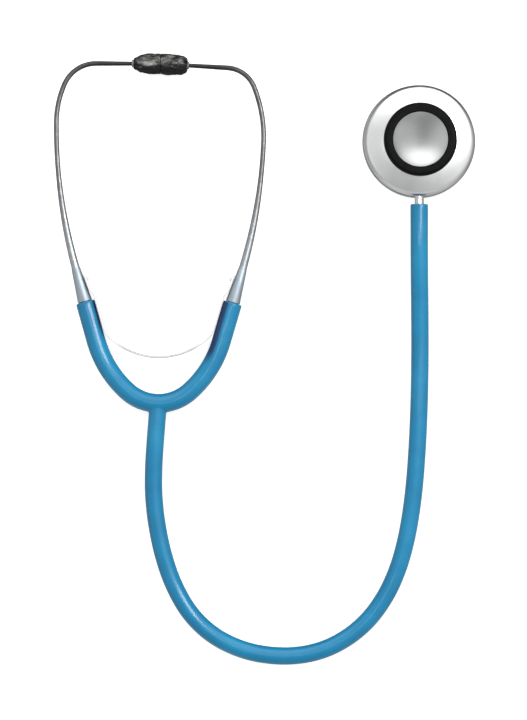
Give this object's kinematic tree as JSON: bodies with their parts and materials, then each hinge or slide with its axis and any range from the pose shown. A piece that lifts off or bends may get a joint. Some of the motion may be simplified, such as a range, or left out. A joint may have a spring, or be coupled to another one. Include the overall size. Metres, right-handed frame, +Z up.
{
  "type": "toy stethoscope",
  "caption": "Toy stethoscope laid flat: two-sided round chestpiece that swivels on its stem, soft blue hose and Y-shaped yoke, and sprung ear tubes with knobbly black ear tips.",
  "frame": {"origin": "middle of the diaphragm's face, on the table that the stethoscope lies on", "axes": "+Z up out of the table, through the bell; the hose leaves the chestpiece along -Y; the yoke lies at -X"},
  "size_m": [0.1681, 0.2437, 0.0195],
  "materials": {
    "chest_metal": "satin",
    "dish_metal": "satin",
    "rim_metal": "satin",
    "stem_metal": "polished",
    "clip_steel": "satin",
    "spring_steel": "polished",
    "ferrule_metal": "polished",
    "tube_steel": "satin",
    "blue_vinyl": "gloss",
    "black_rubber": "satin",
    "tip_rubber": "matte",
    "sleeve_plastic": "satin",
    "diaphragm_plastic": "satin"
  },
  "bodies": {
    "yoke": {"yoke_junction": "blue_vinyl", "left_yoke_arm": "blue_vinyl", "right_yoke_arm": "blue_vinyl", "leaf_spring": "spring_steel", "hose": "blue_vinyl", "stem": "stem_metal", "stem_o_ring": "black_rubber", "stem_clip": "clip_steel"},
    "left_ear": {"left_ear_tube": "tube_steel", "left_ferrule": "ferrule_metal", "left_spring_rivet": "spring_steel", "left_tip_sleeve": "sleeve_plastic", "left_ear_tip": "tip_rubber"},
    "right_ear": {"right_ear_tube": "tube_steel", "right_ferrule": "ferrule_metal", "right_spring_rivet": "spring_steel", "right_tip_sleeve": "sleeve_plastic", "right_ear_tip": "tip_rubber"},
    "chestpiece": {"drum_body": "chest_metal", "bell_cup": "dish_metal", "bell_ring": "black_rubber", "diaphragm": "diaphragm_plastic", "diaphragm_gasket": "black_rubber", "diaphragm_rim": "rim_metal"}
  },
  "joints": [
    {"name": "left_ear_flex", "type": "hinge", "parent": "yoke", "child": "left_ear", "pos_m": [-0.12404, -0.09041, 0.0038], "axis": [0, 0, 1], "range_deg": [0, 22], "stiffness_Nm_per_rad": 0.3, "deforming": ["left_yoke_arm", "leaf_spring"]},
    {"name": "right_ear_flex", "type": "hinge", "parent": "yoke", "child": "right_ear", "pos_m": [-0.08376, -0.09069, 0.0038], "axis": [0, 0, -1], "range_deg": [0, 22], "stiffness_Nm_per_rad": 0.3, "deforming": ["right_yoke_arm", "leaf_spring"]},
    {"name": "chest_swivel", "type": "hinge", "parent": "yoke", "child": "chestpiece", "pos_m": [0, 0, 0.0067], "axis": [0, 1, 0], "continuous": true}
  ]
}
